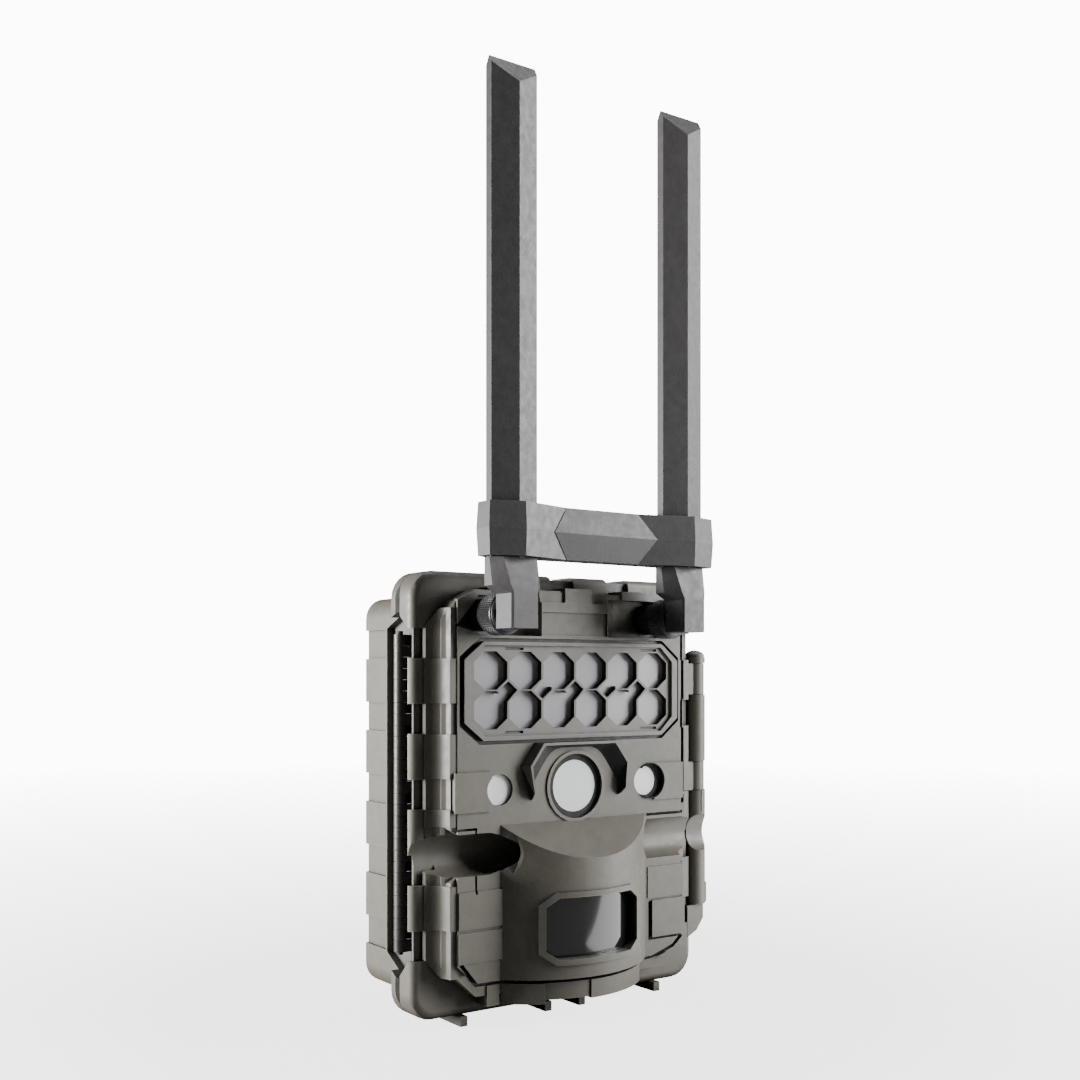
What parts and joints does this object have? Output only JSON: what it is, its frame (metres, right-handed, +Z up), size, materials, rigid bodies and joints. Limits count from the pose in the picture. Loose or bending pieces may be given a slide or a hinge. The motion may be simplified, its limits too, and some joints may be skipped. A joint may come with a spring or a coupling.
{
  "type": "trail camera",
  "caption": "Weatherproof trail camera with a hinged latched door, infrared and lens windows, motion sensor window, lock cable channel and blade antennas joined by a bracket.",
  "frame": {"origin": "centre of the mouth of the tripod socket, in the plane of the foot ribs", "axes": "+Z up along the tripod screw, +Y towards the back of the housing, +X towards the latch side"},
  "size_m": [0.1261, 0.0832, 0.3018],
  "materials": {
    "housing_plastic": "fine matte texture, dark earth grey",
    "window_frame": "satin moulded plastic, earth grey",
    "antenna_plastic": "satin, dark neutral grey",
    "bracket_plastic": "satin, neutral grey",
    "black_plastic": "matte black",
    "gloss_black": "polished black",
    "filter_plastic": "glossy smoked filter plate",
    "clear_window": "polished",
    "lens": "coated glass",
    "steel": "bright",
    "brass": "turned",
    "rubber": "matte",
    "circuit_board": "green solder mask",
    "cell_jacket": "plain silver jacket",
    "grey_plastic": "satin grey",
    "red_led": "red lens"
  },
  "bodies": {
    "housing": {"back_housing": "housing_plastic", "tripod_insert": "brass", "hinge_pin": "steel", "battery_tray": "black_plastic", "battery_cells": "cell_jacket", "contact_springs": "steel", "contact_plates": "steel"},
    "door": {"front_cover": "housing_plastic", "door_gasket": "rubber", "ir_grid": "window_frame", "ir_filter": "filter_plastic", "led_board": "circuit_board", "ir_leds": "gloss_black", "lens_bezel": "black_plastic", "lens_glass": "lens", "lens_barrel": "black_plastic", "image_sensor_board": "circuit_board", "left_port_window": "clear_window", "right_port_window": "clear_window", "light_sensor": "black_plastic", "status_led": "red_led", "pir_window": "gloss_black", "pir_sensor": "steel", "main_board": "circuit_board", "modem_board": "circuit_board", "inner_panel": "black_plastic", "panel_screws": "steel", "display": "clear_window", "card_slot": "steel", "antenna_jacks": "brass", "coax_leads": "rubber", "antenna_left": "antenna_plastic", "antenna_right": "antenna_plastic", "latch_pins": "steel", "mic_port": "grey_plastic"},
    "latch": {"latch": "housing_plastic"},
    "card": {"memory_card": "black_plastic"},
    "switch": {"power_switch": "grey_plastic"},
    "nut_left": {"coupling_nut_left": "black_plastic"},
    "nut_right": {"coupling_nut_right": "black_plastic"},
    "bracket": {"antenna_bracket": "bracket_plastic"},
    "button_body_1": {"button_1": "grey_plastic"},
    "button_body_2": {"button_2": "grey_plastic"},
    "button_body_3": {"button_3": "grey_plastic"},
    "button_body_4": {"button_4": "grey_plastic"},
    "button_body_5": {"button_5": "grey_plastic"}
  },
  "joints": [
    {"name": "door_hinge", "type": "hinge", "parent": "housing", "child": "door", "pos_m": [-0.0572, -0.013, 0.0746], "axis": [0, 0, -1], "range_deg": [0, 110]},
    {"name": "latch_pivot", "type": "hinge", "parent": "door", "child": "latch", "pos_m": [0.0614, -0.0196, 0.0748], "axis": [0, 0, -1], "range_deg": [0, 95]},
    {"name": "card_slide", "type": "slide", "parent": "door", "child": "card", "axis": [-1, 0, 0], "range_m": [0, 0.033]},
    {"name": "switch_slide", "type": "slide", "parent": "door", "child": "switch", "axis": [1, 0, 0], "range_m": [0, 0.0065]},
    {"name": "left_nut_spin", "type": "hinge", "parent": "door", "child": "nut_left", "pos_m": [-0.0342, -0.036, 0.1313], "axis": [0, 1, 0], "continuous": true},
    {"name": "right_nut_spin", "type": "hinge", "parent": "door", "child": "nut_right", "pos_m": [0.0342, -0.036, 0.1313], "axis": [0, 1, 0], "continuous": true},
    {"name": "bracket_slide", "type": "slide", "parent": "door", "child": "bracket", "axis": [0, 0, 1], "range_m": [0, 0.155]},
    {"name": "button_1_press", "type": "slide", "parent": "door", "child": "button_body_1", "axis": [0, -1, 0], "range_m": [0, 0.0008], "stiffness_N_per_m": 400, "springref_m": -0.0005},
    {"name": "button_2_press", "type": "slide", "parent": "door", "child": "button_body_2", "axis": [0, -1, 0], "range_m": [0, 0.0008], "stiffness_N_per_m": 400, "springref_m": -0.0005},
    {"name": "button_3_press", "type": "slide", "parent": "door", "child": "button_body_3", "axis": [0, -1, 0], "range_m": [0, 0.0008], "stiffness_N_per_m": 400, "springref_m": -0.0005},
    {"name": "button_4_press", "type": "slide", "parent": "door", "child": "button_body_4", "axis": [0, -1, 0], "range_m": [0, 0.0008], "stiffness_N_per_m": 400, "springref_m": -0.0005},
    {"name": "button_5_press", "type": "slide", "parent": "door", "child": "button_body_5", "axis": [0, -1, 0], "range_m": [0, 0.0008], "stiffness_N_per_m": 400, "springref_m": -0.0005}
  ]
}
